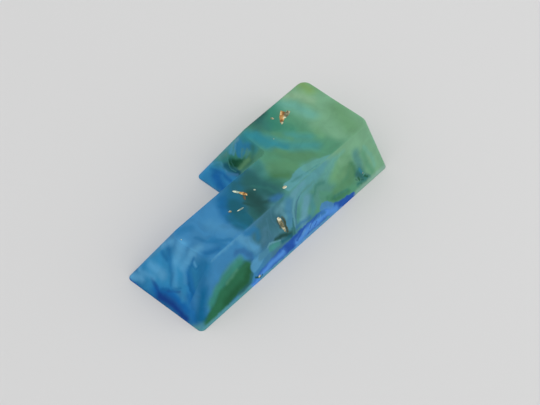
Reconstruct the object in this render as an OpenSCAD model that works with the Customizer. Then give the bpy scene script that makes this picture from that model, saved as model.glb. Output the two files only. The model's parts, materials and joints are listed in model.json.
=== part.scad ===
// Stepped two-unit keycap, cast as one open shell with three socketed posts under its top.
// X runs across the key, Y from its front edge to its back edge, and Z up from its rim.
// The origin is the middle of the key's outline, at the height of the rim.

/* [Outline at the rim] */
// Length from the front edge to the back edge
key_length = 37.1; // [34:0.1:40]
// Width of the wide back part
back_width = 18.1; // [17:0.1:21]
// Width of the narrow front part
front_width = 13.2; // [12:0.1:15]
// Distance from the front edge to the step in the left side
step_from_front = 18.5; // [16:0.1:21]
// Radius of the upright corners at the rim
rim_corner_r = 0.7; // [0.4:0.1:1.2]
// Radius of the inside corner of the step
step_corner_r = 0.6; // [0.3:0.1:1.2]

/* [Slope of the walls] */
// Height of the top's outer edges above the rim
key_height = 7.1; // [6.5:0.1:9]
// How far the left and right walls lean in from rim to top
side_inset = 3.3; // [2:0.1:3.6]
// How far the front wall leans in from rim to top
front_inset = 5.25; // [3:0.05:5.8]
// How far the step's wall leans in from rim to top
step_inset = 5.25; // [3:0.05:5.8]
// How far the back wall leans in from rim to top
back_inset = 0.4; // [0.2:0.1:1.5]

/* [Top] */
// Radius of the upright corners at the top
top_corner_r = 1.2; // [0.8:0.1:1.6]
// Radius that softens the top's outer edges
edge_r = 0.3; // [0.15:0.05:0.5]
// Depth of the finger scoop that runs along the top
scoop_depth = 0.25; // [0.1:0.05:0.5]

/* [Shell] */
// Thickness of the walls, measured level
wall = 1.4; // [1:0.1:1.8]
// Thickness of the top from its outer edges to the ceiling
top_thickness = 1.7; // [1.3:0.1:2]
// Radius between the ceiling and the walls
ceiling_r = 0.6; // [0.3:0.1:0.9]
// Radius of the hollow's upright corners
hollow_corner_r = 0.8; // [0.5:0.1:1]

/* [Posts and sockets] */
// Outer diameter of a post
post_d = 5.5; // [5.2:0.1:5.8]
// Distance from the middle post to each outer post
post_spacing = 11.94; // [11:0.02:12.5]
// How far a post's end stays above the rim
post_recess = 0.4; // [0.2:0.1:1]
// How far a post widens where it meets the ceiling
post_flare = 0.5; // [0.2:0.1:0.7]
// Length of the switch stem's cross that goes into a socket
stem_span = 4; // [3.9:0.05:4.1]
// Thickness of the stem's blade that runs across the key
stem_blade_x = 1.1; // [1:0.05:1.2]
// Thickness of the stem's blade that runs along the key
stem_blade_y = 1.3; // [1.2:0.05:1.4]
// Play between the stem's cross and the socket, in all
socket_play = 0.05; // [0.02:0.01:0.1]
// Depth of a socket from the post's end
socket_depth = 4; // [3.6:0.1:4.2]

/* [Ribs] */
// Thickness of the ribs between a post and the side walls
rib_t = 1; // [0.8:0.1:1.2]
// Height of the ribs' lower edge above the rim
rib_from_rim = 3.6; // [3:0.1:4.2]

/* [Hidden] */
$fn = 64;
// Steps in a quarter turn of an upright corner, and of a softened edge
CORNER_STEPS = 8;
EDGE_STEPS = 4;
// How far a cutting shape reaches past the face it opens
past = 1;
ceiling_z = key_height - top_thickness;
right_x = back_width / 2;
left_x = -back_width / 2;
narrow_left_x = right_x - front_width;
front_y = -key_length / 2;
back_y = key_length / 2;
step_y = front_y + step_from_front;
post_x = right_x - front_width / 2;
// The scoop is part of a cylinder that meets the top at the edges' inner borders
scoop_half_w = back_width / 2 - side_inset - edge_r;
scoop_r = (scoop_half_w * scoop_half_w + scoop_depth * scoop_depth) / (2 * scoop_depth);

// Points of a quarter turn about a centre, from one angle to another
function quarter(centre, r, from, to) = [
    for (i = [0:CORNER_STEPS])
        let (a = from + (to - from) * i / CORNER_STEPS)
        centre + r * [cos(a), sin(a)]
];

// Stepped outline at height z, moved in by a further margin, with outer corners of radius r
function outline(z, margin, r, inner_r) =
    let (
        t = z / key_height,
        x0 = left_x + side_inset * t + margin,
        x1 = narrow_left_x + side_inset * t + margin,
        x2 = right_x - side_inset * t - margin,
        y0 = front_y + front_inset * t + margin,
        y1 = step_y + step_inset * t + margin,
        y2 = back_y - back_inset * t - margin
    )
    concat(
        quarter([x1 + r, y0 + r], r, 180, 270),
        quarter([x2 - r, y0 + r], r, 270, 360),
        quarter([x2 - r, y2 - r], r, 0, 90),
        quarter([x0 + r, y2 - r], r, 90, 180),
        quarter([x0 + r, y1 + r], r, 180, 270),
        quarter([x1 - inner_r, y1 - inner_r], inner_r, 90, 0)
    );

// An outline's points in space at height z
function ring(z, margin, r, inner_r) = [
    for (p = outline(z, margin, r, inner_r)) [p[0], p[1], z]
];

// Rings of a quarter round that ends level at height top_z
function softened(top_z, margin, r, inner_r, round_r) = [
    for (i = [0:EDGE_STEPS])
        let (a = 90 * i / EDGE_STEPS)
        ring(
            top_z - round_r * (1 - sin(a)),
            margin + round_r * (1 - cos(a)),
            r,
            inner_r
        )
];

// Closed solid through a stack of stepped rings, where each end is split into convex faces
module skin(rings) {
    n = len(rings[0]);
    top = (len(rings) - 1) * n;
    corner = CORNER_STEPS + 1;
    // The rings' point at the start of the back right corner, which sees the whole step
    hub = 2 * corner;
    sides = [
        for (k = [0:n:top - n], i = [0:n - 1])
            let (j = (i + 1) % n)
            each [[k + i, k + n + i, k + n + j], [k + i, k + n + j, k + j]]
    ];
    wide_end = [for (i = [hub:5 * corner]) i];
    narrow_end = concat([n - 1], [for (i = [0:hub]) i]);
    step_end = [for (i = [5 * corner:n - 2]) [hub, i, i + 1]];
    ends = concat([wide_end, narrow_end], step_end);
    lids = [for (f = ends) [for (i = [len(f) - 1:-1:0]) top + f[i]]];
    polyhedron(points = [for (r = rings) each r], faces = concat(sides, ends, lids));
}

// Outer form, with sloped walls and softened top edges, before the scoop
module outer_form() {
    skin(concat(
        [ring(0, 0, rim_corner_r, step_corner_r)],
        softened(key_height, 0, top_corner_r, step_corner_r, edge_r)
    ));
}

// Space under the top, one wall in from the outer form
module hollow() {
    skin(concat(
        [ring(-past, wall, hollow_corner_r, step_corner_r)],
        softened(ceiling_z, wall, hollow_corner_r, step_corner_r, ceiling_r)
    ));
}

// Places its children on the axis of each post
module at_posts() {
    for (y = [-post_spacing, 0, post_spacing])
        translate([post_x, y, 0]) children();
}

// Round post that widens at the ceiling
module post() {
    translate([0, 0, post_recess])
        cylinder(d = post_d, h = key_height - post_recess);
    translate([0, 0, ceiling_z - post_flare])
        cylinder(d1 = post_d, d2 = post_d + 2 * post_flare, h = post_flare);
}

// Rib that crosses the hollow through a post's axis
module rib() {
    translate([-back_width, -rib_t / 2, rib_from_rim])
        cube([2 * back_width, rib_t, key_height - rib_from_rim]);
}

// Cross-shaped socket that opens at a post's end
module socket() {
    depth = socket_depth + past;
    translate([0, 0, post_recess - past + depth / 2]) {
        cube([stem_span + socket_play, stem_blade_x + socket_play, depth], center = true);
        cube([stem_blade_y + socket_play, stem_span + socket_play, depth], center = true);
    }
}

// Long cylinder that sinks the finger scoop into the top
module scoop() {
    translate([0, 0, key_height - scoop_depth + scoop_r])
        rotate([90, 0, 0])
        cylinder(r = scoop_r, h = key_length, center = true, $fn = 256);
}

// The whole keycap: one cast shell with its posts and ribs
module keycap() {
    color("steelblue")
    difference() {
        outer_form();
        difference() {
            hollow();
            at_posts() post();
            at_posts() rib();
        }
        at_posts() socket();
        scoop();
    }
}

keycap();
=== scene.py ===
"""Looks of a stepped two-unit keycap cast in marbled resin with flakes of gold-coloured leaf.

Sizes of the key's features are in millimetres in its own frame: X across the key to its straight
right side, Y from front to back, Z up from the rim. Blender's lengths are in metres.
"""

import json
import logging
import math
import random
from dataclasses import dataclass, field
from enum import Enum

import bmesh
import bpy
from mathutils import Matrix, Vector
from mathutils.bvhtree import BVHTree

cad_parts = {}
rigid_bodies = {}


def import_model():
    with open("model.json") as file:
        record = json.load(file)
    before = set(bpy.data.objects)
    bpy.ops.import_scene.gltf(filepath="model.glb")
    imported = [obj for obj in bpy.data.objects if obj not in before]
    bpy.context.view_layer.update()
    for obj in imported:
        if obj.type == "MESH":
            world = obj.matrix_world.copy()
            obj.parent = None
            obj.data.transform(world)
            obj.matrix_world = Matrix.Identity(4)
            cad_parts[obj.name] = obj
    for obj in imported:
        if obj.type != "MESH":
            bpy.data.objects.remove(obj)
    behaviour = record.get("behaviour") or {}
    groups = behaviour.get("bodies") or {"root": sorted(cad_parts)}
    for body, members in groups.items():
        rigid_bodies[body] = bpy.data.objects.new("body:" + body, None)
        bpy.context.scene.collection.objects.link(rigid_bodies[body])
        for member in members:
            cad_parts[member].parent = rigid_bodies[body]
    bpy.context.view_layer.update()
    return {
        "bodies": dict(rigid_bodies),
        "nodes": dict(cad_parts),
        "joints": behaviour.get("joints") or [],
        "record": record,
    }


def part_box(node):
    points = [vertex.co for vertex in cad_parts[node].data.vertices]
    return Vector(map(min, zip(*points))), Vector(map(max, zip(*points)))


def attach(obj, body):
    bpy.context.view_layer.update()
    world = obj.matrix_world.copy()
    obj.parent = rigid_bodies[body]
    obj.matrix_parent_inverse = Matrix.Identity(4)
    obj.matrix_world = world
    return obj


LOG = logging.getLogger("keycap")
MM = 0.001
# The pale sheen that the studio lays over every dark colour, as linear light
SHEEN = 0.009
# The darkest that a channel of a pigment gets, as linear light
DARKEST = 0.001
# The photograph's width in pixels, and the width of the camera's sensor in millimetres
PHOTO_WIDTH_PX = 540
SENSOR_MM = 36.0
# The key's faces, in millimetres: its half width and half length at the rim, the left edge of its
# narrow part, the foot of its step, and the height at which strokes lie in its top
HALF_WIDTH = 9.05
HALF_LENGTH = 18.55
NARROW_LEFT_X = -4.15
STEP_Y = -0.05
TOP_Z = 7.0
# How far the walls lean in for each millimetre of height
SIDE_LEAN = 0.465
FRONT_LEAN = 0.74
BACK_LEAN = 0.056
# The shortest squared length of a stroke's leg, which keeps its divisor above zero
SHORTEST = 1e-6
# Places of the mix node's colour sockets, which share their names with its other sockets
MIX_UNDER, MIX_OVER, MIX_RESULT = 6, 7, 2

Spot = tuple[float, float]
Point = tuple[float, float, float]
Path = tuple[Point, ...]
Socket = bpy.types.NodeSocket


class Tint(Enum):
    """Pigments of the casting as they look in soft light, as display colours from 0 to 255. Some
    also serve for painted highlights and painted glow, and CLOUD, BAY and FJORD are painted
    lighter to offset shade.
    """

    LIME = (122, 161, 100)
    PALE_SAGE = (134, 172, 138)
    SAGE = (118, 167, 133)
    MINT = (104, 166, 150)
    ICE = (146, 178, 168)
    LEAF = (102, 150, 110)
    GRASS = (108, 161, 121)
    FERN = (84, 144, 114)
    JADE = (58, 132, 112)
    SPRUCE = (56, 118, 110)
    OLIVE = (86, 138, 102)
    DARK_OLIVE = (74, 124, 84)
    MOSS = (46, 106, 76)
    BOTTLE = (38, 90, 60)
    POCKET = (24, 82, 60)
    PINE = (38, 78, 76)
    UMBER = (64, 74, 54)
    DEEP_TEAL = (44, 96, 96)
    ABYSS = (32, 96, 114)
    LAKE = (34, 103, 132)
    GLOOM = (60, 110, 124)
    LAGOON = (72, 144, 138)
    TEAL = (50, 134, 148)
    CREEK = (50, 128, 164)
    SHALE = (76, 138, 138)
    SHOAL = (84, 138, 128)
    SEAFOAM = (96, 156, 148)
    SLATE = (90, 151, 156)
    MIST = (98, 153, 167)
    DUSK = (70, 118, 138)
    HAZE = (74, 132, 160)
    STEEL = (62, 129, 176)
    SKY = (82, 146, 184)
    # Painted light: CLOUD, BAY and FJORD are blues painted lighter to offset the shade that falls
    # on the front and step walls
    CLOUD = (92, 164, 208)
    BAY = (54, 140, 190)
    AZURE = (42, 114, 162)
    CERULEAN = (26, 98, 150)
    FJORD = (18, 104, 172)
    DEPTH = (22, 102, 158)
    TIDE = (12, 104, 150)
    TARN = (26, 112, 158)
    ROYAL = (8, 66, 138)
    COBALT = (42, 86, 166)
    LUPIN = (74, 130, 176)
    BRIGHT = (82, 142, 214)
    SURF = (92, 148, 204)
    IRIS = (54, 110, 158)
    STRAW = (124, 152, 104)

    def linear(self) -> tuple[float, float, float, float]:
        """Returns the pigment's own linear colour, less the pale sheen that lies over it."""
        red, green, blue = (max(linear_channel(c / 255) - SHEEN, DARKEST) for c in self.value)
        return (red, green, blue, 1.0)


def linear_channel(value: float) -> float:
    """Turns one display channel into a linear one, by the usual display curve.

    Args:
        value: The display channel, from 0 to 1.

    Returns:
        The linear channel, from 0 to 1.
    """
    if value <= 0.04045:
        return value / 12.92
    return ((value + 0.055) / 1.055) ** 2.4


class Hold(Enum):
    """What a stroke of pigment is held to as the flow of the resin pulls it about."""

    LOOSE = "pulled about freely"
    CRISP = "pulled about in small eddies only"
    TOP = "pulled freely, but only inside the right ridge"
    # Strokes held outside the ridge paint the right wall apart from the top: partly the resin's
    # own colours, partly painted light, as the wall is painted lighter than the top where light
    # from the right falls on it
    WALL = "pulled freely, but only outside the right ridge"


def top(*spots: Spot) -> Path:
    """Returns the path through places across and along the key's top."""
    return tuple((x, y, TOP_Z) for x, y in spots)


def right(*spots: Spot) -> Path:
    """Returns the path through places along and up the right wall."""
    return tuple((HALF_WIDTH - SIDE_LEAN * z, y, z) for y, z in spots)


def front(*spots: Spot) -> Path:
    """Returns the path through places across and up the front wall."""
    return tuple((x, FRONT_LEAN * z - HALF_LENGTH, z) for x, z in spots)


def step(*spots: Spot) -> Path:
    """Returns the path through places across and up the step's wall."""
    return tuple((x, FRONT_LEAN * z + STEP_Y, z) for x, z in spots)


def left(*spots: Spot) -> Path:
    """Returns the path through places along and up the wide part's left wall."""
    return tuple((SIDE_LEAN * z - HALF_WIDTH, y, z) for y, z in spots)


def narrow(*spots: Spot) -> Path:
    """Returns the path through places along and up the narrow part's left wall."""
    return tuple((SIDE_LEAN * z + NARROW_LEFT_X, y, z) for y, z in spots)


def back(*spots: Spot) -> Path:
    """Returns the path through places across and up the back wall."""
    return tuple((x, HALF_LENGTH - BACK_LEAN * z, z) for x, z in spots)


@dataclass(frozen=True)
class Stroke:
    """One stroke of colour: a soft-edged line through points in the resin, mostly pigment, with a
    few painted highlights and painted glow among the strokes.

    Args:
        tint: Its colour: a pigment, and in a few strokes the colour of a painted highlight or
            painted glow.
        path: The points its middle line runs through, in millimetres.
        radius: Half its thickness where it starts, in millimetres.
        soft: The share of the radius over which it fades out.
        amount: How much of the colour under it it hides, from 0 to 1.
        taper: Its thickness where it ends, over its thickness where it starts.
        hold: What it is held to as the resin flows.
    """

    tint: Tint
    path: Path
    radius: float
    soft: float = 1.0
    amount: float = 0.9
    taper: float = 1.0
    hold: Hold = Hold.LOOSE


CRISP, TOP, WALL = Hold.CRISP, Hold.TOP, Hold.WALL

# Strokes of pigment, with a few painted highlights and painted glow among them, laid one over
# another from the first to the last
TOP_BACK = (
    Stroke(Tint.FERN, top((-3, 9), (3, 12)), 5.0),
    Stroke(Tint.SAGE, top((-3, 15), (4, 14.5)), 3.8),
    Stroke(Tint.LEAF, top((1, 17.2), (4.8, 15.8)), 2.6),
    Stroke(Tint.PALE_SAGE, top((-5.6, 14.2), (-4.6, 15.4), (-2.4, 16)), 1.9, 1, 0.8, 0.6),
    Stroke(Tint.LIME, top((-5.2, 17.2), (-4, 17.2)), 1.7),
    Stroke(Tint.MINT, top((-5.2, 12.3), (-3.6, 13.6), (-0.8, 14)), 1.9, 1, 0.9, 0.9),
    Stroke(Tint.SAGE, top((0.8, 13), (4.2, 13.6)), 1.5, 1, 0.6),
    Stroke(Tint.FERN, top((3, 11.2), (5, 12)), 1.5, 1, 0.8, 1, TOP),
    Stroke(Tint.GRASS, top((1.4, 12.6), (2.6, 12.2)), 1.0, 1, 0.7),
    Stroke(Tint.JADE, top((-5.8, 11.2), (-3.6, 9.2)), 2.4),
    Stroke(Tint.JADE, top((-3.6, 9.2), (-1.2, 10.2)), 1.5, 1, 0.6),
    Stroke(Tint.SPRUCE, top((-5.9, 9.4), (-3.8, 8.2)), 1.5, 1, 0.8),
    Stroke(Tint.OLIVE, top((0.6, 6), (3.8, 8.2)), 2.2),
    Stroke(Tint.PINE, top((-6.2, 7), (-6, 9.8)), 1.4),
    Stroke(Tint.DEEP_TEAL, top((-5.4, 8.2), (-4.4, 6.9)), 1.3, 1, 0.7),
    Stroke(Tint.TEAL, top((-4.9, 5.7), (-1.7, 6.2)), 1.7),
    Stroke(Tint.LAGOON, top((-2.2, 7.1), (0.8, 8.1), (3.2, 10.2)), 1.6, 1, 1, 0.9),
    Stroke(Tint.LAGOON, top((-0.8, 9), (1.5, 10.9)), 1.3, 1, 0.8),
    Stroke(Tint.FERN, top((-2.4, 8.1), (0.1, 9.1)), 0.7, 1, 0.8),
    Stroke(Tint.TEAL, top((-3.6, 6.3), (-1.2, 6.9), (0.2, 7.5)), 1.1, 1, 0.8, 0.9),
    Stroke(Tint.FERN, top((-0.4, 4.2), (0.4, 5.2)), 1.7, 1, 0.8),
    Stroke(Tint.OLIVE, top((1.4, 3.6), (3.2, 5.4)), 2.1, 0.9),
    Stroke(Tint.DARK_OLIVE, top((2.6, 2.9), (3.7, 3.8)), 1.3),
    Stroke(Tint.MOSS, top((1.2, 1.5), (2.2, 1.7), (4.2, 2)), 1.6, 1, 0.6),
)
TOP_FRONT = (
    Stroke(Tint.STEEL, top((1.5, -6), (2.5, -13)), 4.5, 0.6, 1),
    Stroke(Tint.AZURE, top((-0.8, -0.4), (0.4, -5)), 2.8, 1, 1, 0.7),
    Stroke(Tint.SKY, top((1.8, -8.8), (4.8, -8)), 1.6, 1, 0.4),
    Stroke(Tint.AZURE, top((2, -11.6), (3.5, -11.3), (5.6, -9)), 0.6, 1, 0.8, 0.8, TOP),
    Stroke(Tint.AZURE, top((3.8, -10.6), (5.4, -10.4)), 1.1, 1, 0.9, 1, TOP),
    Stroke(Tint.CERULEAN, top((4.7, -12.8), (5.4, -11.4)), 1.0, 1, 0.8, 1, TOP),
    Stroke(Tint.SKY, top((3.3, -12.6)) + front((3.2, 6.6)), 1.0, 1, 0.8),
    Stroke(Tint.AZURE, top((-0.4, -12.4), (0.2, -11)), 0.9, 1, 0.8),
)
TOP_MIDDLE = (
    Stroke(Tint.SHALE, top((-0.4, 2.6), (1, 1.8)), 1.5, 1, 0.6),
    Stroke(Tint.SPRUCE, top((-0.6, 2.8), (0.4, 2.2)), 1.1, 1, 0.7),
    Stroke(Tint.LAKE, top((0.2, -1.8), (1.4, -4), (3, -4.8)), 2.4, 0.8),
    Stroke(Tint.DEEP_TEAL, top((-0.2, 0.8), (0.8, 0)), 2.1),
    Stroke(Tint.DEEP_TEAL, top((0.8, 0), (4.4, 0.4)), 2.4, 0.9, 1),
    Stroke(Tint.DEEP_TEAL, top((2.6, -1.8), (5.2, -3.6)), 2.3, 0.8, 1, 1, TOP),
    Stroke(Tint.PINE, top((2.4, -1.7), (5.2, -2.6)), 1.6, 1, 1, 1, TOP),
    Stroke(Tint.ABYSS, top((1.8, -4.6), (3.4, -5.2)), 1.5, 0.6, 1),
    Stroke(Tint.ABYSS, top((3.4, -5.4), (4.8, -5.4)), 1.3, 0.4, 1, 1, TOP),
    Stroke(Tint.CERULEAN, top((0.2, -4.9), (1.6, -6.1), (3, -6.8)), 1.1, 1, 0.8),
    Stroke(Tint.LAKE, top((3, -6.4), (4.6, -6.7), (5.4, -6.4)), 1.1, 1, 1, 1, TOP),
    Stroke(Tint.DEEP_TEAL, top((-0.4, -2), (0.6, -2.6)), 1.2, 1, 0.6),
    Stroke(Tint.DEEP_TEAL, top((5, -1.6), (5.4, -0.8)), 0.9, 1, 0.6, 1, TOP),
    Stroke(Tint.PINE, top((2.6, -3.4), (4.2, -2.9), (4.9, -1)), 0.5, 1, 0.8),
    Stroke(Tint.SPRUCE, top((1.6, -0.6), (3.2, 0.6), (4.6, 0.8)), 0.5, 1, 0.5),
    Stroke(Tint.IRIS, top((5.2, -0.4), (5.5, 0.4)), 1.1, 1, 0.8, 1, TOP),
    # Pale bands along the top's right ridge: partly the resin's own colour, partly a painted
    # highlight where the ridge catches the light
    Stroke(Tint.SLATE, top((5.3, 2.7), (5, 5), (4.95, 6.6)), 0.9, 0.3, 1, 1, TOP),
    Stroke(Tint.SEAFOAM, top((4.95, 6.6), (5.5, 8.4), (6.4, 10.6)), 0.9, 0.4, 1, 0.9, TOP),
    Stroke(Tint.SEAFOAM, top((4.2, 6.6), (4.8, 8.2)), 0.8, 1, 0.5, 1, TOP),
    Stroke(Tint.SHALE, top((4.9, 3.4), (5.3, 4.9), (5.6, 8.2)), 0.35, 1, 0.9, 0.6, TOP),
)
# Painted light: the front wall is painted in lighter blues to offset the shade that falls on it
FRONT = (
    Stroke(Tint.BAY, front((0, 3), (5, 3)), 4.4, 0.6, 1),
    Stroke(Tint.CLOUD, front((1.2, 6.8), (1.6, 5)), 1.4, 1, 0.8),
    Stroke(Tint.CLOUD, front((3, 6.6), (2.8, 4.6)), 0.9, 1, 0.7),
    Stroke(Tint.CLOUD, front((-1.4, 2.8), (0.4, 2.8)), 1.2, 1, 0.8),
    Stroke(Tint.DEPTH, front((-3.8, 0), (1, 0)), 0.45),
    Stroke(Tint.HAZE, front((-2.4, 3.4), (-1, 5.8)), 0.5, 1, 0.6),
    Stroke(Tint.FJORD, front((0.6, 0.9), (3, 1.4), (5.8, 1)), 1.5, 1, 1),
    Stroke(Tint.FJORD, front((4.4, 4.6), (6, 3), (7.6, 1)), 1.7),
    Stroke(Tint.TARN, front((5.4, 6), (6.8, 4), (8.4, 1.6)), 1.9, 0.9),
    Stroke(Tint.STEEL, front((4, 2.2), (4.8, 2)), 0.7, 1, 0.8),
    Stroke(Tint.DEPTH, front((-0.7, 5.8), (0.6, 4.6), (1.8, 3.4), (2.3, 2.4)), 0.8, 1, 0.6),
    Stroke(Tint.DEPTH, front((-0.9, 4.8), (0.2, 4.4)), 0.6, 1, 0.6),
    Stroke(Tint.DEPTH, front((3.5, 6.2), (3.9, 4.8), (4.5, 3.6)), 0.45, 1, 0.6),
    Stroke(Tint.DEPTH, front((4.5, 3.6), (5.5, 3), (6.6, 1.6)), 0.45, 1, 1),
    Stroke(Tint.DEPTH, front((3.8, 5.4), (4.5, 5.3), (4.7, 5.9)), 0.25, 1, 0.6),
    Stroke(Tint.DEPTH, front((1.2, 1.4), (2.4, 1.8), (3.6, 2.7)), 0.4, 1, 0.6),
    Stroke(Tint.ROYAL, front((-0.8, 1.7), (0.8, 1.1), (1.7, 0.6)), 0.5, 1, 0.6),
    Stroke(Tint.ROYAL, front((1.5, 0.5), (3.4, 0.6), (6.2, 0.2)), 1.3, 1, 1, 0.7),
)
FRONT_FOLDS = (
    Stroke(Tint.CLOUD, front((-1.4, 5.4), (-0.4, 6.4)), 0.9, 1, 0.7),
    Stroke(Tint.CLOUD, front((1.4, 4.6), (2.2, 3.4), (2.8, 2.6)), 0.8, 1, 0.4),
    Stroke(Tint.CLOUD, front((3.2, 5.4), (3.3, 4.4), (4, 3.6)), 0.6, 1, 0.4),
    Stroke(Tint.CLOUD, front((3.9, 5.9), (4.3, 5.7)), 0.35, 1, 0.6),
    Stroke(Tint.CLOUD, front((-3.2, 1.6), (-2.2, 1.6), (-0.6, 1.9)), 0.7, 1, 0.6),
    Stroke(Tint.CLOUD, front((-4, 0.3), (-2.2, 1)), 1.0),
    Stroke(Tint.BAY, front((4.4, 2.4), (4.8, 1.6)), 0.6, 1, 0.5),
    Stroke(Tint.CREEK, front((4.4, 5), (5.6, 4)), 1.0, 1, 0.6),
    Stroke(Tint.FJORD, front((5.2, 2.4), (6.4, 2)), 0.9, 1, 0.6),
    Stroke(Tint.COBALT, front((-3.9, 0), (-1.6, 0)), 0.3, 1, 0.8),
    Stroke(Tint.ROYAL, front((2.2, 1.5), (3, 1.9), (3.8, 2.3)), 0.35, 1, 0.5),
)
# Painted light: the step's wall is painted in lighter blues to offset the shade that falls on it
STEP = (
    Stroke(Tint.BAY, step((-9, 1), (-4, 1.4)), 2.6, 0.6, 1),
    Stroke(Tint.FJORD, step((-6.4, 1.4), (-4.6, 0.6)), 1.4),
    Stroke(Tint.CLOUD, step((-8.2, 2), (-6.6, 3), (-5, 2.5)), 0.4, 1, 0.8, 0.6),
    Stroke(Tint.JADE, step((-7, 3.8), (-4, 4.4)), 1.5, 0.9),
    Stroke(Tint.STRAW, step((-7.2, 3.4), (-6.5, 4.2)), 0.9, 1, 1),
    Stroke(Tint.ABYSS, step((-5.6, 3), (-3.6, 3.1)), 0.9, 0.9, 1),
    Stroke(Tint.POCKET, step((-5.1, 3.7), (-3.8, 4.2)), 0.9, 0.7, 1),
    Stroke(Tint.MOSS, step((-3.6, 4.1), (-2.8, 5.2)), 0.9, 0.9),
    # Painted highlight: a pale green line along the step wall's edge where it meets the narrow
    # part
    Stroke(Tint.GRASS, step((-3.6, 3.6), (-2.6, 5.6)), 0.5, 1, 0.8, 1.2),
    Stroke(Tint.TEAL, step((-6, 6.8), (-3, 6.4)), 1.2),
    Stroke(Tint.CREEK, step((-6, 6.2), (-4.6, 5.8), (-3.8, 6.2)), 0.9, 0.8, 1),
    Stroke(Tint.CREEK, step((-5.2, 5.6), (-4.4, 5.2)), 0.8, 0.5, 1),
    Stroke(Tint.CLOUD, step((-6.4, 5.4), (-5.8, 4.6)), 0.55, 0.9),
    Stroke(Tint.CLOUD, step((-5.6, 5.6), (-5.3, 4.6)), 0.3, 1, 0.6),
    Stroke(Tint.MIST, step((-6.4, 4.8), (-5.8, 6.2)), 0.6),
    Stroke(Tint.SHALE, step((-4.3, 5.6), (-3.9, 4.8)), 0.3, 0.9, 0.8),
    Stroke(Tint.SHALE, step((-3.7, 5.9), (-3.3, 5.2)), 0.35, 0.9, 0.8),
    Stroke(Tint.SPRUCE, step((-3.1, 6.4), (-2.6, 5.6)), 0.7, 1, 0.8),
    Stroke(Tint.LAGOON, step((-6.3, 4.5), (-5.8, 3.7), (-5, 3.1), (-4, 3.1)), 0.2, 1, 0.7),
    Stroke(Tint.SPRUCE, step((-5.5, 4.4), (-5.1, 3.7), (-4, 3.4)), 0.2, 1, 0.7),
    Stroke(Tint.LUPIN, step((-4.8, 2.3), (-3.5, 2.8)), 0.4, 1, 0.8),
    Stroke(Tint.FJORD, step((-7.4, 1.7), (-5.6, 2), (-4, 1.9)), 0.5, 1, 0.7),
    # Painted highlight: a lighter line along the foot of the step's wall
    Stroke(Tint.LUPIN, step((-9, 0), (-5, 0)), 0.5, 1, 0.7),
)
RIGHT_BACK = (
    Stroke(Tint.SAGE, right((10, 7), (18, 5)), 3.4, 1, 0.95, 1, WALL),
    Stroke(Tint.SAGE, right((16.6, 3), (18, 1.4)), 2.4, 1, 0.9, 1, WALL),
    Stroke(Tint.SLATE, right((8.6, 6.4), (4, 6.2)), 2.3, 1, 1, 1, WALL),
    Stroke(Tint.SEAFOAM, right((10.4, 6), (8, 5)), 1.5, 1, 0.9, 1, WALL),
    Stroke(Tint.SHOAL, right((5.4, 3.4), (6.4, 4.2), (8.2, 3.2)), 2.0, 1, 0.95, 1, WALL),
    Stroke(Tint.GRASS, right((9.6, 4.3), (11.4, 5), (12.3, 5)), 1.6, 1, 1, 1, WALL),
    Stroke(Tint.LEAF, right((12.4, 4.2), (10, 3.2)), 1.2, 1, 0.8, 1, WALL),
    Stroke(Tint.OLIVE, right((12.8, 4.8), (12.5, 2.8)), 0.9, 1, 0.8, 1, WALL),
    Stroke(Tint.OLIVE, right((12.7, 3.4), (11.8, 2.2), (8.8, 2.4)), 1.6, 1, 1, 0.9, WALL),
    Stroke(Tint.FERN, right((15.5, 4), (15.3, 2.4), (15.9, 1)), 0.9, 1, 0.7),
    Stroke(Tint.SHOAL, right((14.2, 4.8), (14.1, 3.4), (13.7, 2.2)), 1.2, 1, 1, 1.1),
    Stroke(Tint.SPRUCE, right((13.5, 2.4), (14.1, 1.2)), 1.0),
    Stroke(Tint.DEEP_TEAL, right((13.2, 2.1), (13.9, 1.3), (14.6, 1)), 0.7, 1, 0.8),
    Stroke(Tint.CREEK, right((13.8, 2.5), (14, 1.9)), 0.35, 1, 0.6),
    Stroke(Tint.SPRUCE, right((12.8, 1), (15, 0.7)), 0.6),
    Stroke(Tint.BOTTLE, right((14.4, 1.2), (14.7, 0.9)), 0.25, 0.8),
    Stroke(Tint.BOTTLE, right((13.2, 1.7), (13.3, 1.3)), 0.25, 0.8),
    Stroke(Tint.BOTTLE, right((12.8, 1), (13.4, 0.7)), 0.2, 0.9, 0.8),
    Stroke(Tint.PINE, right((13.6, 1.1), (13.9, 0.9)), 0.2, 0.9, 0.8),
    Stroke(Tint.PINE, right((12.7, 1.7), (12.9, 1.5)), 0.2, 0.9, 0.7),
    Stroke(Tint.MINT, right((14, 1.3), (14.4, 1.5)), 0.15, 0.9, 0.6),
    Stroke(Tint.MOSS, right((7.4, 2.5), (8.6, 1.5), (10.8, 1.1)), 0.7, 1, 0.6),
)
RIGHT_FOLDS = (
    Stroke(Tint.SPRUCE, right((5.2, 4.2), (6.4, 5), (7.6, 4.6)), 0.5, 1, 0.5),
    Stroke(Tint.FERN, right((6.6, 3.6), (7.4, 3.2), (7.8, 2.4)), 0.8, 1, 0.6),
    Stroke(Tint.MOSS, right((12.8, 4.4), (13.1, 3.6), (12.8, 2.4)), 0.6, 1, 0.4),
    Stroke(Tint.SAGE, right((11.4, 5.2), (12.8, 4.8)), 0.9, 1, 0.6),
    Stroke(Tint.LEAF, right((9.8, 3.9), (11.2, 3.4)), 0.7, 1, 0.5),
    Stroke(Tint.MINT, right((8.6, 5.8), (12.6, 6.2)), 0.6, 1, 0.5),
    Stroke(Tint.SPRUCE, right((8.4, 1.9), (9.6, 1.7), (10.8, 1.4)), 0.4, 1, 0.5),
    Stroke(Tint.MINT, right((15.8, 4.6), (16.6, 3), (16.6, 1.4)), 0.6, 1, 0.5),
)
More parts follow.
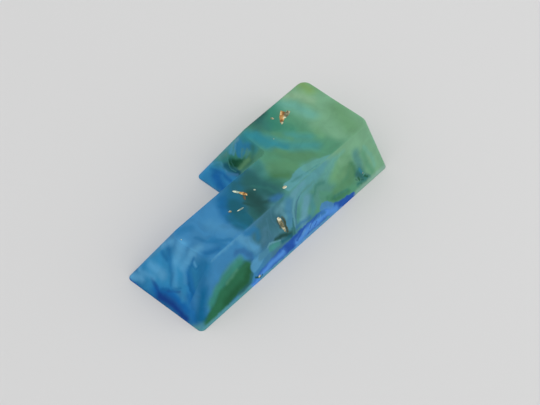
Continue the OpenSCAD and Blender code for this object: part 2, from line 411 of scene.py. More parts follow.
RIGHT_MIDDLE = (
    Stroke(Tint.GLOOM, right((-1.6, 5.6), (-5, 5)), 2.8, 0.8, 1, 1, WALL),
    Stroke(Tint.SLATE, right((6, 6.3), (2.6, 5.4)), 1.6, 0.9, 1, 1, WALL),
    Stroke(Tint.HAZE, right((1.2, 5.8), (0.2, 3.6)), 1.5, 0.9, 1, 1, WALL),
    Stroke(Tint.MIST, right((2.2, 6.3), (4.4, 6.5)), 0.8, 1, 0.9, 1, WALL),
    Stroke(Tint.MIST, right((-0.9, 6), (0.2, 6.1)), 0.9, 1, 0.6, 1, WALL),
    Stroke(Tint.SHALE, right((4.8, 4.2), (4.6, 2.8), (3.8, 2)), 0.8, 0.9, 1, 1, WALL),
    Stroke(Tint.MIST, right((4.1, 4.4), (3.1, 3.4), (2.3, 2.2)), 1.15, 0.8, 1, 0.9, WALL),
    Stroke(Tint.MIST, right((0.8, 2.6), (1.2, 4.2), (2.6, 6)), 0.35),
    Stroke(Tint.DUSK, right((0.8, 2), (1.6, 4), (2.4, 5.2), (3.6, 5.7)), 0.35, 1, 0.9, 0.6),
    Stroke(Tint.SHOAL, right((3.6, 5.6), (6.2, 5.7)), 0.4, 1, 0.6),
    Stroke(Tint.DEEP_TEAL, right((0.3, 1.8), (0.8, 3.6)), 0.45, 1, 0.8, 0.6),
    Stroke(Tint.DEEP_TEAL, right((-0.3, 1.8), (0.2, 2.6)), 0.4, 1, 0.8),
    Stroke(Tint.PINE, right((-0.4, 2.2), (-1.6, 2.9), (-2.8, 3)), 0.8, 0.9, 1, 0.7),
    Stroke(Tint.IRIS, right((1, 2.3), (3.4, 2.2)), 0.6, 1, 0.7),
    Stroke(Tint.ABYSS, right((-0.4, 2), (-2, 2.1)), 0.5, 1, 0.8),
    Stroke(Tint.UMBER, right((-0.5, 4.9), (-0.6, 2.7)), 0.3, 0.8, 1, 1, CRISP),
    Stroke(Tint.UMBER, right((-1.5, 5), (-1.4, 3.8)), 0.25, 1, 0.7, 1, CRISP),
    Stroke(Tint.DUSK, right((-3.8, 5.2), (-4.6, 4)), 0.9),
    Stroke(Tint.MIST, right((-0.4, 5.5), (-0.1, 4.4)), 0.6, 1, 0.6),
    Stroke(Tint.TARN, right((-5, 5.6), (-5.2, 4.8)), 0.8, 1, 0.5),
    Stroke(Tint.DUSK, right((-1.8, 6.8), (-2.2, 5.8), (-2, 4.6)), 0.2, 1, 0.6),
    Stroke(Tint.DUSK, right((-2.9, 6.2), (-3.2, 5), (-3.3, 3.8)), 0.2, 1, 0.6),
    Stroke(Tint.LAGOON, right((-4.2, 2.6), (-2.8, 2.4)), 0.8, 0.8),
    Stroke(Tint.MIST, right((-4.8, 2.8), (-3.9, 3.2), (-2.2, 2.5)), 0.3, 0.9, 0.9, 0.7),
    Stroke(Tint.DUSK, right((-3.4, 4.6), (-3.7, 3.6)), 0.15, 1, 0.8),
)
RIGHT_FRONT = (
    Stroke(Tint.STEEL, right((-9.5, 6), (-16, 3)), 3.0, 0.7, 1, 1, WALL),
    Stroke(Tint.AZURE, right((-6.6, 6.4), (-5.4, 6.2)), 1.0, 1, 0.8, 1, WALL),
    Stroke(Tint.SKY, right((-7.9, 6.7), (-6.9, 5.2), (-6, 3.8)), 1.0, 0.9, 1, 1, WALL),
    # Painted highlight: a lighter line along the right wall just under the ridge, where the edge
    # catches the light
    Stroke(Tint.SKY, right((-8.4, 6.9), (-12.8, 6.9)), 0.5, 1, 0.8, 1, WALL),
    Stroke(Tint.IRIS, right((-9.2, 5.4), (-8, 4.9), (-7.3, 3.7), (-7.4, 3)), 0.75, 0.9, 1),
    Stroke(Tint.SHALE, right((-9.2, 4.2), (-11, 4.3), (-14, 3.2)), 1.1, 1, 0.8),
    Stroke(Tint.JADE, right((-9.4, 3.8), (-12.4, 3.5), (-15.4, 2.2)), 1.5, 0.9, 0.9, 0.9),
    Stroke(Tint.MOSS, right((-8.7, 2.6), (-11.4, 2.3), (-13.4, 1.9)), 1.6, 0.6, 1, 0.9),
    Stroke(Tint.MOSS, right((-13.4, 1.9), (-17.2, 0.7)), 1.4, 0.7, 1, 0.6),
    Stroke(Tint.MOSS, right((-9.4, 1.4), (-12, 1.2), (-16.4, 0.8)), 1.1, 0.6, 1, 0.8),
    Stroke(Tint.BOTTLE, right((-8.4, 2.2), (-9.6, 1.4), (-13.6, 1)), 1.1),
    Stroke(Tint.FERN, right((-10.2, 3.4), (-12.4, 2.9)), 0.5, 1, 0.5),
    Stroke(Tint.DEEP_TEAL, right((-8.3, 1.4), (-9, 0.7), (-11, 0.5)), 0.6),
    Stroke(Tint.SKY, right((-7.6, 2.1), (-6.2, 2.4)), 0.85, 0.4, 1),
    Stroke(Tint.TIDE, front((6.8, 4), (7.4, 2.6), (8, 1.2)), 1.2, 1, 1),
    Stroke(Tint.AZURE, front((5.2, 6.2), (6.4, 4.2)), 1.1, 1, 0.8),
    # Painted highlight at the foot of the front wall's right corner
    Stroke(Tint.SLATE, front((9, 0.7), (7.8, 0)), 0.8),
    Stroke(Tint.HAZE, right((-6, 2.5), (-5, 2.6)), 0.75, 0.6, 1),
)
RIM = (
    Stroke(Tint.COBALT, right((11.4, 0.2), (8.6, 0.5), (6.6, 1)), 0.6, 0.4, 1, 1.5, CRISP),
    Stroke(Tint.COBALT, right((5.6, 1), (1.4, 1), (-3, 0.8)), 1.0, 0.4, 1, 0.95, CRISP),
    Stroke(Tint.COBALT, right((-3, 0.8), (-6.4, 0.6), (-8.6, 0.1)), 0.95, 0.5, 1, 0.6, CRISP),
    Stroke(Tint.LUPIN, right((7.4, 1.3), (6.5, 2), (5.9, 1.9)), 0.6, 0.4, 1, 1, CRISP),
    Stroke(
        Tint.BRIGHT,
        right((7.8, 0.4), (6.2, 1), (2.6, 0.9), (0.2, 0.6)),
        radius=1.0,
        soft=0.9,
        amount=1,
        taper=0.9,
        hold=CRISP,
    ),
    Stroke(Tint.IRIS, right((5.8, 1.2), (5, 1.4), (4.2, 1.5)), 0.6, 1, 0.8, 1, CRISP),
    Stroke(Tint.LUPIN, right((6.8, 1.9), (6.2, 2.2)), 0.5, 0.5, 0.9, 1, CRISP),
    Stroke(Tint.BRIGHT, right((-2.4, 0.8), (-5, 0.8), (-9, 0)), 0.75, 1, 1, 1, CRISP),
    Stroke(Tint.POCKET, right((-7.9, 0.8), (-7.3, 0.35), (-6.9, 0.3)), 0.25, 0.8, 0.9, 1, CRISP),
    # Painted glow: a pale strip along the foot of the right wall, where light from the floor shows
    # through the resin's edge
    Stroke(Tint.SURF, right((8.8, 0), (4, 0.1), (-7, 0)), 0.4, 1, 0.9, 1, CRISP),
    Stroke(Tint.COBALT, right((4.6, 1.6), (3.4, 1.3), (2.8, 0.9)), 0.2, 1, 0.8, 1, CRISP),
    Stroke(Tint.COBALT, right((2.2, 1.6), (1, 1.1), (0.2, 0.8)), 0.3, 1, 0.9, 1, CRISP),
    Stroke(Tint.SURF, right((3.4, 1), (3, 0.8)), 0.15, 1, 0.8, 1, CRISP),
    Stroke(Tint.SURF, right((5.2, 1.3), (4.9, 1)), 0.15, 1, 0.8, 1, CRISP),
    Stroke(Tint.SURF, right((1.9, 1.1), (1.3, 0.9)), 0.35, 1, 0.9, 1, CRISP),
    Stroke(Tint.SURF, right((3.2, 1.3), (2.8, 1.1)), 0.2, 1, 0.9, 1, CRISP),
    Stroke(Tint.COBALT, right((4.2, 0.9), (3.7, 0.7)), 0.2, 1, 0.7, 1, CRISP),
    Stroke(Tint.COBALT, right((2.5, 0.7), (2.2, 0.4)), 0.2, 1, 0.7, 1, CRISP),
    Stroke(Tint.COBALT, right((-0.6, 0.9), (-2, 0.8)), 0.6, 1, 0.8, 1, CRISP),
    # Painted glow: pale strips along the foot of the right wall, where light from the floor shows
    # through the resin's edge
    Stroke(Tint.SLATE, right((-1.2, 0), (-7.2, 0)), 0.5, 1, 0.7, 1, CRISP),
    Stroke(Tint.ICE, right((18.4, 0), (12, 0)), 1.0, 0.8, 0.6, 0.8, CRISP),
    Stroke(Tint.SLATE, right((-9.4, 0), (-18.4, 0)), 0.75, 0.8, 0.9, 1, CRISP),
)
LEFT = (
    Stroke(Tint.TEAL, left((1, 3), (4, 4.6), (7, 4)), 2.2),
    Stroke(Tint.BAY, left((0.4, 1), (6, 1.4)), 1.8),
    Stroke(Tint.SPRUCE, left((7, 4.4), (9, 3), (11, 3)), 2.4),
    Stroke(Tint.MINT, left((11, 1.6), (13.4, 2), (15, 3.4)), 1.8),
    Stroke(Tint.LAGOON, left((5, 5.6), (7.6, 2.4), (12, 1)), 0.9),
    Stroke(Tint.MIST, left((3, 5.2), (5, 3.4), (9.4, 3)), 0.6, 1, 0.6, 0.6),
    Stroke(Tint.COBALT, left((2, 0.2), (5, 0.6), (9, 0.2)), 0.9, 1, 0.8, 0.7),
    Stroke(Tint.SKY, narrow((-2, 4), (-4, 5.4), (-7, 5.6)), 1.8, 1, 0.8),
    Stroke(Tint.FJORD, narrow((-4, 1.2), (-8, 2.4), (-13, 1)), 1.9),
    Stroke(Tint.DEPTH, narrow((-6, 2.6), (-8.4, 4.2), (-12, 4.4)), 0.7, 1, 0.6, 0.5),
    Stroke(Tint.CLOUD, narrow((-10, 5), (-13, 3.4), (-16, 1.4)), 1.1, 1, 0.7),
    Stroke(Tint.TARN, narrow((-1, 2), (-1.6, 5.6)), 1.4, 1, 0.8),
)
BACK = (
    Stroke(Tint.FERN, back((-8, 1), (-2, 2.4), (3, 1)), 2.2),
    Stroke(Tint.MINT, back((-3, 4.6), (2, 3.2), (6, 3.8)), 1.5),
    Stroke(Tint.LEAF, back((-6, 5.4), (-3, 6.2)), 1.5),
    Stroke(Tint.LAGOON, back((-7.4, 3.2), (-3, 2.6), (0, 0.8)), 0.9, 1, 0.7, 0.5),
    Stroke(Tint.JADE, back((2.4, 1.6), (5, 0.8), (8, 1.2)), 1.2, 1, 0.7, 0.6),
)
STROKES = TOP_BACK + TOP_FRONT + TOP_MIDDLE + FRONT + FRONT_FOLDS + STEP
STROKES += RIGHT_BACK + RIGHT_FOLDS + RIGHT_MIDDLE + RIGHT_FRONT + RIM + LEFT + BACK

# The broad run of colour under the strokes, at shares of the key's length from its front
GROUND = (
    (0.02, Tint.AZURE),
    (0.12, Tint.STEEL),
    (0.3, Tint.STEEL),
    (0.42, Tint.DUSK),
    (0.52, Tint.SHALE),
    (0.64, Tint.FERN),
    (0.82, Tint.FERN),
    (0.95, Tint.SAGE),
)


class Sketch:
    """A short hand for building one shader node tree."""

    def __init__(self, tree: bpy.types.NodeTree) -> None:
        """Starts an empty sketch in a node tree."""
        self.tree = tree
        tree.nodes.clear()

    def node(self, kind: str, **settings: object) -> bpy.types.Node:
        """Adds a node.

        Args:
            kind: The node's type name.
            settings: Attributes to set on it.

        Returns:
            The new node.
        """
        made = self.tree.nodes.new(kind)
        for name, value in settings.items():
            setattr(made, name, value)
        return made

    def feed(self, socket: Socket, value: object) -> None:
        """Links a socket to an input, or sets the input to a value."""
        if isinstance(value, bpy.types.NodeSocket):
            self.tree.links.new(value, socket)
        else:
            socket.default_value = value

    def math(self, operation: str, a: object, b: object = 0.0, clamp: bool = False) -> Socket:
        """Returns the result of a scalar operation on two values or sockets."""
        made = self.node("ShaderNodeMath", operation=operation, use_clamp=clamp)
        self.feed(made.inputs[0], a)
        self.feed(made.inputs[1], b)
        return made.outputs[0]

    def vector(self, operation: str, a: object, b: object = (0.0, 0.0, 0.0)) -> Socket:
        """Returns the vector result of an operation on two vectors or sockets."""
        made = self.node("ShaderNodeVectorMath", operation=operation)
        self.feed(made.inputs[0], a)
        self.feed(made.inputs[1], b)
        return made.outputs[0]

    def measure(self, operation: str, a: object, b: object = (0.0, 0.0, 0.0)) -> Socket:
        """Returns the scalar result of a vector operation, such as a length or dot product."""
        made = self.node("ShaderNodeVectorMath", operation=operation)
        self.feed(made.inputs[0], a)
        self.feed(made.inputs[1], b)
        return made.outputs["Value"]

    def scaled(self, a: object, factor: object) -> Socket:
        """Returns a vector times a scalar."""
        made = self.node("ShaderNodeVectorMath", operation="SCALE")
        self.feed(made.inputs[0], a)
        self.feed(made.inputs["Scale"], factor)
        return made.outputs[0]

    def noise(self, place: Socket, scale: float, detail: float, twist: float) -> bpy.types.Node:
        """Adds smooth noise.

        Args:
            place: Where it is read, in millimetres.
            scale: Its cells per millimetre.
            detail: Its octaves.
            twist: How far it is distorted.

        Returns:
            The noise node, with its value and colour outputs.
        """
        made = self.node("ShaderNodeTexNoise")
        self.feed(made.inputs["Vector"], place)
        made.inputs["Scale"].default_value = scale
        made.inputs["Detail"].default_value = detail
        made.inputs["Distortion"].default_value = twist
        return made

    def ease(
        self, value: object, low: object, high: object, to_low: object = 0.0, to_high: object = 1.0
    ) -> Socket:
        """Returns a smooth step of a value from one range to another."""
        made = self.node("ShaderNodeMapRange", interpolation_type="SMOOTHSTEP")
        for name, given in (
            ("Value", value),
            ("From Min", low),
            ("From Max", high),
            ("To Min", to_low),
            ("To Max", to_high),
        ):
            self.feed(made.inputs[name], given)
        return made.outputs[0]

    def mix(self, share: object, under: object, over: object, blend: str = "MIX") -> Socket:
        """Returns one colour laid over another by a share."""
        made = self.node("ShaderNodeMix", data_type="RGBA", blend_type=blend)
        self.feed(made.inputs[0], share)
        self.feed(made.inputs[MIX_UNDER], under)
        self.feed(made.inputs[MIX_OVER], over)
        return made.outputs[MIX_RESULT]

    def ramp(self, value: Socket, stops: tuple[tuple[float, Tint], ...]) -> Socket:
        """Returns a colour read from a ramp of pigments at places from 0 to 1."""
        made = self.node("ShaderNodeValToRGB")
        elements = made.color_ramp.elements
        while len(elements) > 1:
            elements.remove(elements[-1])
        elements[0].position = stops[0][0]
        elements[0].color = stops[0][1].linear()
        for place, tint in stops[1:]:
            elements.new(place).color = tint.linear()
        self.feed(made.inputs[0], value)
        return made.outputs[0]


def capsule_group() -> bpy.types.NodeTree:
    """Builds the node group that measures how far inside a tapered capsule a point is.

    Returns:
        The group: it takes a place, two ends, a radius at each, the share of the radius that
        fades out and the amount inside, and gives the cover from 0 to that amount.
    """
    group = bpy.data.node_groups.new("pigment_capsule", "ShaderNodeTree")
    sketch = Sketch(group)
    for name in ("Place", "Start", "End"):
        group.interface.new_socket(name, in_out="INPUT", socket_type="NodeSocketVector")
    for name in ("Start Radius", "End Radius", "Core", "Amount"):
        group.interface.new_socket(name, in_out="INPUT", socket_type="NodeSocketFloat")
    group.interface.new_socket("Cover", in_out="OUTPUT", socket_type="NodeSocketFloat")
    given = sketch.node("NodeGroupInput").outputs
    along = sketch.vector("SUBTRACT", given["End"], given["Start"])
    offset = sketch.vector("SUBTRACT", given["Place"], given["Start"])
    run = sketch.math("MAXIMUM", sketch.measure("DOT_PRODUCT", along, along), SHORTEST)
    share = sketch.math("DIVIDE", sketch.measure("DOT_PRODUCT", offset, along), run, clamp=True)
    away = sketch.measure("LENGTH", sketch.vector("SUBTRACT", offset, sketch.scaled(along, share)))
    growth = sketch.math("SUBTRACT", given["End Radius"], given["Start Radius"])
    radius = sketch.math("ADD", given["Start Radius"], sketch.math("MULTIPLY", growth, share))
    depth = sketch.math("DIVIDE", away, radius)
    cover = sketch.ease(depth, 1.0, given["Core"], 0.0, given["Amount"])
    sketch.feed(sketch.node("NodeGroupOutput").inputs["Cover"], cover)
    return group


@dataclass(frozen=True)
class MarbledResin:
    """Finish of the casting: strokes of pigment marbled in resin, with a few strokes of painted
    highlight and painted glow, and a satin face.

    Args:
        name: The material's name.
        roughness: How rough its face is.
        shine: How much light its face throws back.
        glow: The share of light that spreads inside it.
        glow_depth: How far that light spreads, in metres.
        loose_pull: How far the flow pulls a loose stroke about, in millimetres.
        loose_eddies: The eddies per millimetre that pull it.
        crisp_pull: How far the flow pulls a crisp stroke about, in millimetres.
        crisp_eddies: The eddies per millimetre that pull it.
        octaves: How many sizes of eddy there are.
        eddy_twist: How far the eddies are twisted.
        drag: How far a stroke drags the strokes that are laid after it, in millimetres.
        ridge_x: Where the right ridge parts the top from the right wall, in millimetres.
        ridge_blur: How far to each side of the ridge the two blend, in millimetres.
        cloud_scale: The clouds of light and shade per millimetre.
        cloud_twist: How far the clouds are twisted.
        cloud_range: The noise values where the clouds are darkest and lightest.
        cloudiness: How much the clouds darken or lighten the colours.
    """

    name: str = "marbled_resin"
    roughness: float = 0.45
    shine: float = 0.12
    glow: float = 0.12
    glow_depth: float = 1.2 * MM
    loose_pull: float = 0.4
    loose_eddies: float = 0.5
    crisp_pull: float = 0.25
    crisp_eddies: float = 1.3
    octaves: float = 3.0
    eddy_twist: float = 0.6
    drag: float = 0.05
    ridge_x: float = 5.75
    ridge_blur: float = 0.1
    cloud_scale: float = 0.45
    cloud_twist: float = 0.8
    cloud_range: tuple[float, float] = (0.3, 0.7)
    cloudiness: float = 0.07

    def make(self, length: float) -> bpy.types.Material:
        """Builds the material.

        Args:
            length: The key's length in millimetres.

        Returns:
            The finished material.
        """
        material = bpy.data.materials.new(self.name)
        material.use_nodes = True
        sketch = Sketch(material.node_tree)
        place = sketch.scaled(sketch.node("ShaderNodeTexCoord").outputs["Object"], 1 / MM)
        loose = self.flow(sketch, place, self.loose_pull, self.loose_eddies)
        crisp = self.flow(sketch, place, self.crisp_pull, self.crisp_eddies)
        across = sketch.node("ShaderNodeSeparateXYZ")
        sketch.feed(across.inputs[0], place)
        ridge = (self.ridge_x - self.ridge_blur, self.ridge_x + self.ridge_blur)
        outside = sketch.ease(across.outputs["X"], *ridge)
        inside = sketch.math("SUBTRACT", 1.0, outside)
        colour = self.ground(sketch, loose, length)
        group = capsule_group()
        for stroke in STROKES:
            read = crisp if stroke.hold is CRISP else loose
            cover = self.cover(sketch, group, read, stroke)
            if stroke.hold in (TOP, WALL):
                cover = sketch.math("MULTIPLY", cover, inside if stroke.hold is TOP else outside)
            colour = sketch.mix(cover, colour, stroke.tint.linear())
            # Each stroke reads places that the one before it dragged. This long chain has to stay:
            # strokes that all read the same places make the material too large to render.
            pull = (Vector(stroke.path[-1]) - Vector(stroke.path[0])).normalized() * self.drag
            read = sketch.vector("ADD", read, sketch.scaled(tuple(pull), cover))
            if stroke.hold is CRISP:
                crisp = read
            else:
                loose = read
        cloud = sketch.noise(loose, self.cloud_scale, self.octaves, self.cloud_twist).outputs[0]
        shade = sketch.ease(cloud, *self.cloud_range, 1 - self.cloudiness, 1 + self.cloudiness)
        colour = sketch.mix(1.0, colour, shade, "MULTIPLY")
        shader = sketch.node("ShaderNodeBsdfPrincipled")
        sketch.feed(shader.inputs["Base Color"], colour)
        shader.inputs["Roughness"].default_value = self.roughness
        shader.inputs["Subsurface Weight"].default_value = self.glow
        shader.inputs["Subsurface Radius"].default_value = (1.0, 1.0, 1.0)
        shader.inputs["Subsurface Scale"].default_value = self.glow_depth
        shader.inputs["Specular IOR Level"].default_value = self.shine
        end = sketch.node("ShaderNodeOutputMaterial")
        sketch.feed(end.inputs["Surface"], shader.outputs[0])
        return material

    def flow(self, sketch: Sketch, place: Socket, pull: float, scale: float) -> Socket:
        """Pulls places about by the flow of the resin.

        Args:
            sketch: The tree to build in.
            place: The true places, in millimetres.
            pull: The furthest pull, in millimetres.
            scale: The eddies per millimetre.

        Returns:
            The pulled places, in millimetres.
        """
        eddy = sketch.noise(place, scale, self.octaves, self.eddy_twist).outputs["Color"]
        centred = sketch.vector("SUBTRACT", eddy, (0.5, 0.5, 0.5))
        return sketch.vector("ADD", place, sketch.scaled(centred, 2 * pull))

    def ground(self, sketch: Sketch, place: Socket, length: float) -> Socket:
        """Returns the broad run of colour from the key's blue front to its green back."""
        split = sketch.node("ShaderNodeSeparateXYZ")
        sketch.feed(split.inputs[0], place)
        share = sketch.math("ADD", sketch.math("DIVIDE", split.outputs["Y"], length), 0.5)
        return sketch.ramp(share, GROUND)

    def cover(
        self, sketch: Sketch, group: bpy.types.NodeTree, place: Socket, stroke: Stroke
    ) -> Socket:
        """Returns how much of the colour under it one stroke hides, from 0 to 1."""
        found: Socket | None = None
        legs = len(stroke.path) - 1
        for leg in range(legs):
            capsule = sketch.node("ShaderNodeGroup", node_tree=group)
            sketch.feed(capsule.inputs["Place"], place)
            for end, reached in (("Start", leg), ("End", leg + 1)):
                width = stroke.radius * (1 + (stroke.taper - 1) * reached / legs)
                capsule.inputs[end].default_value = stroke.path[reached]
                capsule.inputs[f"{end} Radius"].default_value = width
            capsule.inputs["Core"].default_value = 1.0 - stroke.soft
            capsule.inputs["Amount"].default_value = stroke.amount
            part = capsule.outputs["Cover"]
            found = part if found is None else sketch.math("MAXIMUM", found, part)
        return found


class Metal(Enum):
    """Tones of the leaf from its lightest to its darkest, as linear colours: the leaf's own colour
    with painted highlights and painted shade for its creases.
    """

    GOLD = ((0.78, 0.6, 0.3), (0.52, 0.27, 0.07), (0.2, 0.09, 0.02))
    CREAM = ((0.8, 0.78, 0.58), (0.44, 0.42, 0.26), (0.12, 0.12, 0.06))
    PALE = ((0.72, 0.8, 0.62), (0.4, 0.5, 0.38), (0.16, 0.24, 0.2))
    RUST = ((0.14, 0.09, 0.05), (0.08, 0.06, 0.03), (0.04, 0.03, 0.02))


@dataclass(frozen=True)
class FoilFinish:
    """Finish of the flakes: thin crumpled leaf that lies in the resin's face.

    Args:
        metal: The leaf's tones.
        fold_scale: Its folds per millimetre.
        fold_octaves: How many sizes of fold there are.
        fold_twist: How far the folds are twisted.
        dark_to_middle: The noise values between which its dark tone turns into its middle one.
        middle_to_light: The noise values between which its middle tone turns into its light one.
        roughness: How rough its face is.
        metallic: How much of a metal it looks.
    """

    metal: Metal
    fold_scale: float = 1.3
    fold_octaves: float = 3.0
    fold_twist: float = 0.6
    dark_to_middle: tuple[float, float] = (0.36, 0.5)
    middle_to_light: tuple[float, float] = (0.5, 0.58)
    roughness: float = 0.4
    metallic: float = 0.35

    def make(self) -> bpy.types.Material:
        """Returns the finished material."""
        material = bpy.data.materials.new(f"leaf_{self.metal.name.lower()}")
        material.use_nodes = True
        sketch = Sketch(material.node_tree)
        place = sketch.scaled(sketch.node("ShaderNodeTexCoord").outputs["Object"], 1 / MM)
        noise = sketch.noise(place, self.fold_scale, self.fold_octaves, self.fold_twist)
        folds = noise.outputs[0]
        # The fold noise paints light and shade over the flat leaf: the light tone is a painted
        # highlight on its creases, the dark tone painted shade
        light, middle, dark = ((*tone, 1.0) for tone in self.metal.value)
        colour = sketch.mix(sketch.ease(folds, *self.dark_to_middle), dark, middle)
        colour = sketch.mix(sketch.ease(folds, *self.middle_to_light), colour, light)
        shader = sketch.node("ShaderNodeBsdfPrincipled")
        sketch.feed(shader.inputs["Base Color"], colour)
        shader.inputs["Metallic"].default_value = self.metallic
        shader.inputs["Roughness"].default_value = self.roughness
        end = sketch.node("ShaderNodeOutputMaterial")
        sketch.feed(end.inputs["Surface"], shader.outputs[0])
        return material


@dataclass
class Keycap:
    """The cast shell, which keeps the solid's own mesh.

    Args:
        node: The name of its solid.
        resin: Its finish.
    """

    node: str = "keycap"
    resin: MarbledResin = field(default_factory=MarbledResin)

    def dress(self, frame: dict) -> bpy.types.Object:
        """Gives the shell its marbled finish.

        Args:
            frame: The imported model.

        Returns:
            The shell's object.
        """
        shell = frame["nodes"][self.node]
        low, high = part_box(self.node)
        shell.data.materials.clear()
        shell.data.materials.append(self.resin.make((high.y - low.y) / MM))
        return shell


@dataclass
class Flake:
    """One flake of leaf, almost flush with the resin's face.

    Args:
        name: Its piece's name.
        metal: The tones of its leaf.
        path: The places of its near and far ends on the resin's face, in millimetres.
        width: Its shorter side, in millimetres.
        corners: How many corners its outline has.
        seed: The seed of its torn outline.
        taper: The width of its far end over that of its near end.
        thickness: How thick it is, in millimetres.
        proud: How far it stands out of the resin's face, in millimetres.
        far_side: How far from its middle its far end's corners start, as a share of its length.
        ragged: The largest share by which a corner is torn in.
    """

    name: str
    metal: Metal
    path: Path
    width: float
    corners: int = 6
    seed: int = 1
    taper: float = 1.0
    thickness: float = 0.05
    proud: float = 0.015
    far_side: float = 0.1
    ragged: float = 0.25

    def outline(self, length: float) -> bmesh.types.BMesh:
        """Cuts the flake's torn outline flat, about its own middle.

        Args:
            length: The distance between its ends, in millimetres.

        Returns:
            The outline as one face, in metres.
        """
        chance = random.Random(self.seed)
        leaf = bmesh.new()
        bmesh.ops.create_circle(leaf, cap_ends=True, segments=self.corners, radius=0.5)
        for corner in leaf.verts:
            corner.co *= 1 - self.ragged * chance.random()
        far = [corner for corner in leaf.verts if corner.co.x > self.far_side]
        bmesh.ops.scale(leaf, vec=(1, self.taper, 1), verts=far)
        bmesh.ops.scale(leaf, vec=(length * MM, self.width * MM, 1), verts=leaf.verts)
        return leaf

    def thicken(self, leaf: bmesh.types.BMesh) -> None:
        """Gives the outline its thickness and sinks it until it stands as proud as it should."""
        grown = bmesh.ops.extrude_face_region(leaf, geom=leaf.faces[:])
        lifted = [v for v in grown["geom"] if isinstance(v, bmesh.types.BMVert)]
        bmesh.ops.translate(leaf, vec=(0, 0, self.thickness * MM), verts=lifted)
        sunk = (self.proud - self.thickness) * MM
        bmesh.ops.translate(leaf, vec=(0, 0, sunk), verts=leaf.verts)

    def build(self, surface: BVHTree, material: bpy.types.Material) -> bpy.types.Object:
        """Builds the flake on the resin's face.

        Args:
            surface: The shell's faces, in metres.
            material: The leaf's finish.

        Returns:
            The flake's object.
        """
        start, end = map(Vector, self.path)
        run = end - start
        leaf = self.outline(run.length)
        self.thicken(leaf)
        middle = (start + end) / 2 * MM
        spot, normal, _, _ = surface.find_nearest(middle)
        along = (run - normal * run.dot(normal)).normalized()
        turned = Matrix((along, normal.cross(along), normal)).transposed().to_4x4()
        bmesh.ops.transform(leaf, matrix=Matrix.Translation(spot) @ turned, verts=leaf.verts)
        bmesh.ops.recalc_face_normals(leaf, faces=leaf.faces)
        mesh = bpy.data.meshes.new(self.name)
        leaf.to_mesh(mesh)
        leaf.free()
        mesh.materials.append(material)
        piece = bpy.data.objects.new(self.name, mesh)
        bpy.context.scene.collection.objects.link(piece)
        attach(piece, "root")
        return piece


GOLD, CREAM, PALE, RUST = Metal.GOLD, Metal.CREAM, Metal.PALE, Metal.RUST
FLAKES = (
    Flake("flake_back_left", GOLD, top((-2.7, 10.0), (-4.2, 12.1)), 0.8, 6, 3, 1.7),
    Flake("flake_back_right", CREAM, top((-3.1, 11.0), (-3.6, 12.6)), 0.65, 6, 4, 1.6, proud=0.03),
    Flake("flake_back_tip", CREAM, top((-3.0, 10.6), (-2.6, 10.0)), 0.35, 6, 5, proud=0.03),
    Flake("flake_back_small", CREAM, top((-4.5, 9.8), (-4.0, 10.1)), 0.35, 6, 4),
    Flake("flake_middle_pale", PALE, top((0.0, -2.9), (1.2, -2.3)), 0.42, 7, 5, 1.2),
    Flake("flake_middle_gold", GOLD, top((0.8, -2.5), (2.1, -1.9)), 0.55, 6, 6, 1.3, proud=0.03),
    Flake("flake_middle_tail", RUST, top((1.6, -2.3), (2.5, -2.9)), 0.35, 6, 7, 0.5),
    Flake("flake_middle_dot", PALE, top((2.05, -0.9), (2.3, -0.6)), 0.3, 6, 6),
    Flake("flake_ridge_dot", CREAM, top((4.8, 1.7), (5.0, 2.4)), 0.5, 7, 7),
    Flake("flake_front_dot", CREAM, top((2.1, -5.8), (2.4, -5.4)), 0.4, 6, 8),
    Flake("flake_front_sliver", PALE, top((2.9, -5.0), (3.1, -3.8)), 0.28, 7, 9),
    Flake("flake_right_long", CREAM, right((-1.25, 5.5), (-0.9, 2.7)), 0.85, 9, 10, 0.7),
    Flake("flake_wall_dot", PALE, right((14.05, 1.85), (14.3, 1.7)), 0.25, 6, 11),
    Flake("flake_rim_dot", CREAM, right((-7.5, 0.5), (-7.0, 0.6)), 0.35, 6, 12),
    Flake("flake_edge_dot", PALE, top((0.55, -13.1), (0.75, -13.05)), 0.18, 6, 13),
    Flake("flake_top_dot", PALE, top((-1.85, 7.4), (-1.7, 7.5)), 0.15, 6, 14),
)


@dataclass
class Leaf:
    """All the flakes of gold-coloured leaf that lie at the resin's face.

    Args:
        flakes: Every flake there is.
    """

    flakes: tuple[Flake, ...] = FLAKES

    def build(self, shell: bpy.types.Object) -> list[bpy.types.Object]:
        """Builds every flake on the shell's faces.

        Args:
            shell: The shell's object.

        Returns:
            The flakes' objects.
        """
        surface = BVHTree.FromObject(shell, bpy.context.evaluated_depsgraph_get())
        finishes = {metal: FoilFinish(metal).make() for metal in Metal}
        return [flake.build(surface, finishes[flake.metal]) for flake in self.flakes]


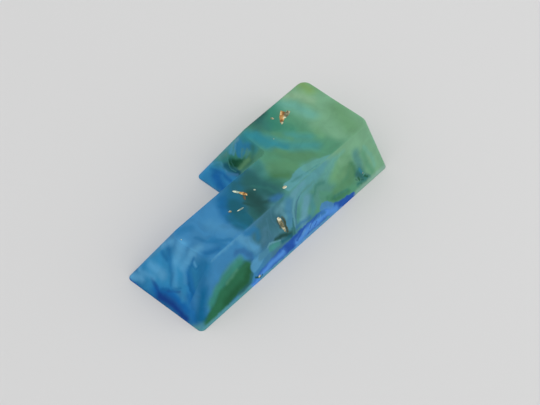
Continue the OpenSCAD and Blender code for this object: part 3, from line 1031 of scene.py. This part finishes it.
@dataclass
class Studio:
    """The pale floor, soft light and camera.

    Args:
        azimuth: How far round the camera stands from the front, to the right, in degrees.
        elevation: How far above the horizon it stands, in degrees.
        distance: From the aimed point to the camera, in millimetres.
        focal_px: The lens's focal length, in the photograph's pixels.
        aim: The point it is aimed past, in millimetres.
        slide: How far it is then moved to its right and up, in millimetres.
        near_clip: The nearest that the camera sees, in metres.
        floor_grey: The floor's linear grey.
        floor_roughness: How rough the floor is.
        floor_reach: From the floor's middle to its edges, in metres.
        floor_gap: How far the floor lies under the rim, in millimetres.
        world_strength: The strength of the even sky.
        lamp_power: The lamp's power in watts.
        lamp_azimuth: How far round the lamp stands from the front, to the right, in degrees.
        lamp_elevation: How far above the horizon it stands, in degrees.
        lamp_distance: From the key to the lamp, in metres.
        lamp_size: The lamp's sides, in metres.
    """

    azimuth: float = 41.57
    elevation: float = 50.76
    distance: float = 263.7
    focal_px: float = 2000.0
    aim: Point = (-1.95, -0.55, 4.0)
    slide: tuple[float, float] = (4.94, -2.06)
    near_clip: float = 0.01
    floor_grey: float = 0.675
    floor_roughness: float = 0.9
    floor_reach: float = 2.0
    floor_gap: float = 0.02
    world_strength: float = 0.87
    lamp_power: float = 0.65
    lamp_azimuth: float = 135.0
    lamp_elevation: float = 38.0
    lamp_distance: float = 0.5
    lamp_size: float = 0.5

    def direction(self, azimuth: float, elevation: float) -> Vector:
        """Finds the way from the key towards a place round it.

        Args:
            azimuth: How far round the place is from the front, to the right, in degrees.
            elevation: How far above the horizon it is, in degrees.

        Returns:
            The unit vector towards it.
        """
        a, e = math.radians(azimuth), math.radians(elevation)
        return Vector((math.sin(a) * math.cos(e), -math.cos(a) * math.cos(e), math.sin(e)))

    def build(self) -> None:
        """Builds the floor, the light and the camera."""
        self.build_floor()
        self.build_light()
        self.build_camera()

    def build_floor(self) -> None:
        """Lays the floor just under the rim."""
        grid = bmesh.new()
        bmesh.ops.create_grid(grid, x_segments=1, y_segments=1, size=self.floor_reach)
        mesh = bpy.data.meshes.new("floor")
        grid.to_mesh(mesh)
        grid.free()
        material = bpy.data.materials.new("floor_paper")
        material.use_nodes = True
        shader = material.node_tree.nodes["Principled BSDF"]
        shader.inputs["Base Color"].default_value = (self.floor_grey,) * 3 + (1.0,)
        shader.inputs["Roughness"].default_value = self.floor_roughness
        mesh.materials.append(material)
        floor = bpy.data.objects.new("floor", mesh)
        floor.location.z = -self.floor_gap * MM
        bpy.context.scene.collection.objects.link(floor)

    def build_light(self) -> None:
        """Sets an even sky and one large soft lamp at the right."""
        scene = bpy.context.scene
        world = bpy.data.worlds.new("studio")
        world.use_nodes = True
        sky = world.node_tree.nodes["Background"]
        sky.inputs["Strength"].default_value = self.world_strength
        sky.inputs["Color"].default_value = (1, 1, 1, 1)
        scene.world = world
        lamp = bpy.data.lights.new("window", "AREA")
        lamp.size = self.lamp_size
        lamp.energy = self.lamp_power
        holder = bpy.data.objects.new("window", lamp)
        back = self.direction(self.lamp_azimuth, self.lamp_elevation)
        holder.location = back * self.lamp_distance
        holder.rotation_euler = back.to_track_quat("Z", "Y").to_euler()
        scene.collection.objects.link(holder)

    def build_camera(self) -> None:
        """Stands the camera where the photograph was taken from."""
        scene = bpy.context.scene
        camera = bpy.data.cameras.new("camera")
        camera.sensor_width = SENSOR_MM
        camera.lens = self.focal_px / PHOTO_WIDTH_PX * SENSOR_MM
        camera.clip_start = self.near_clip
        holder = bpy.data.objects.new("camera", camera)
        tilt = math.radians(90 - self.elevation)
        turn = math.radians(self.azimuth)
        holder.rotation_euler = (tilt, 0, turn)
        back = self.direction(self.azimuth, self.elevation)
        right = Vector((math.cos(turn), math.sin(turn), 0))
        up = back.cross(right)
        aside = right * self.slide[0] + up * self.slide[1]
        holder.location = (Vector(self.aim) + back * self.distance + aside) * MM
        scene.collection.objects.link(holder)
        scene.camera = holder
        scene.view_settings.view_transform = "Standard"


def main() -> None:
    """Builds the studio, dresses the shell and lays the flakes."""
    logging.basicConfig(level=logging.INFO, format="%(name)s: %(message)s")
    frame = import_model()
    Studio().build()
    shell = Keycap().dress(frame)
    LOG.info("%s: %d faces", shell.name, len(shell.data.polygons))
    for piece in Leaf().build(shell):
        LOG.info("%s: %d faces", piece.name, len(piece.data.polygons))


if __name__ == "__main__":
    main()
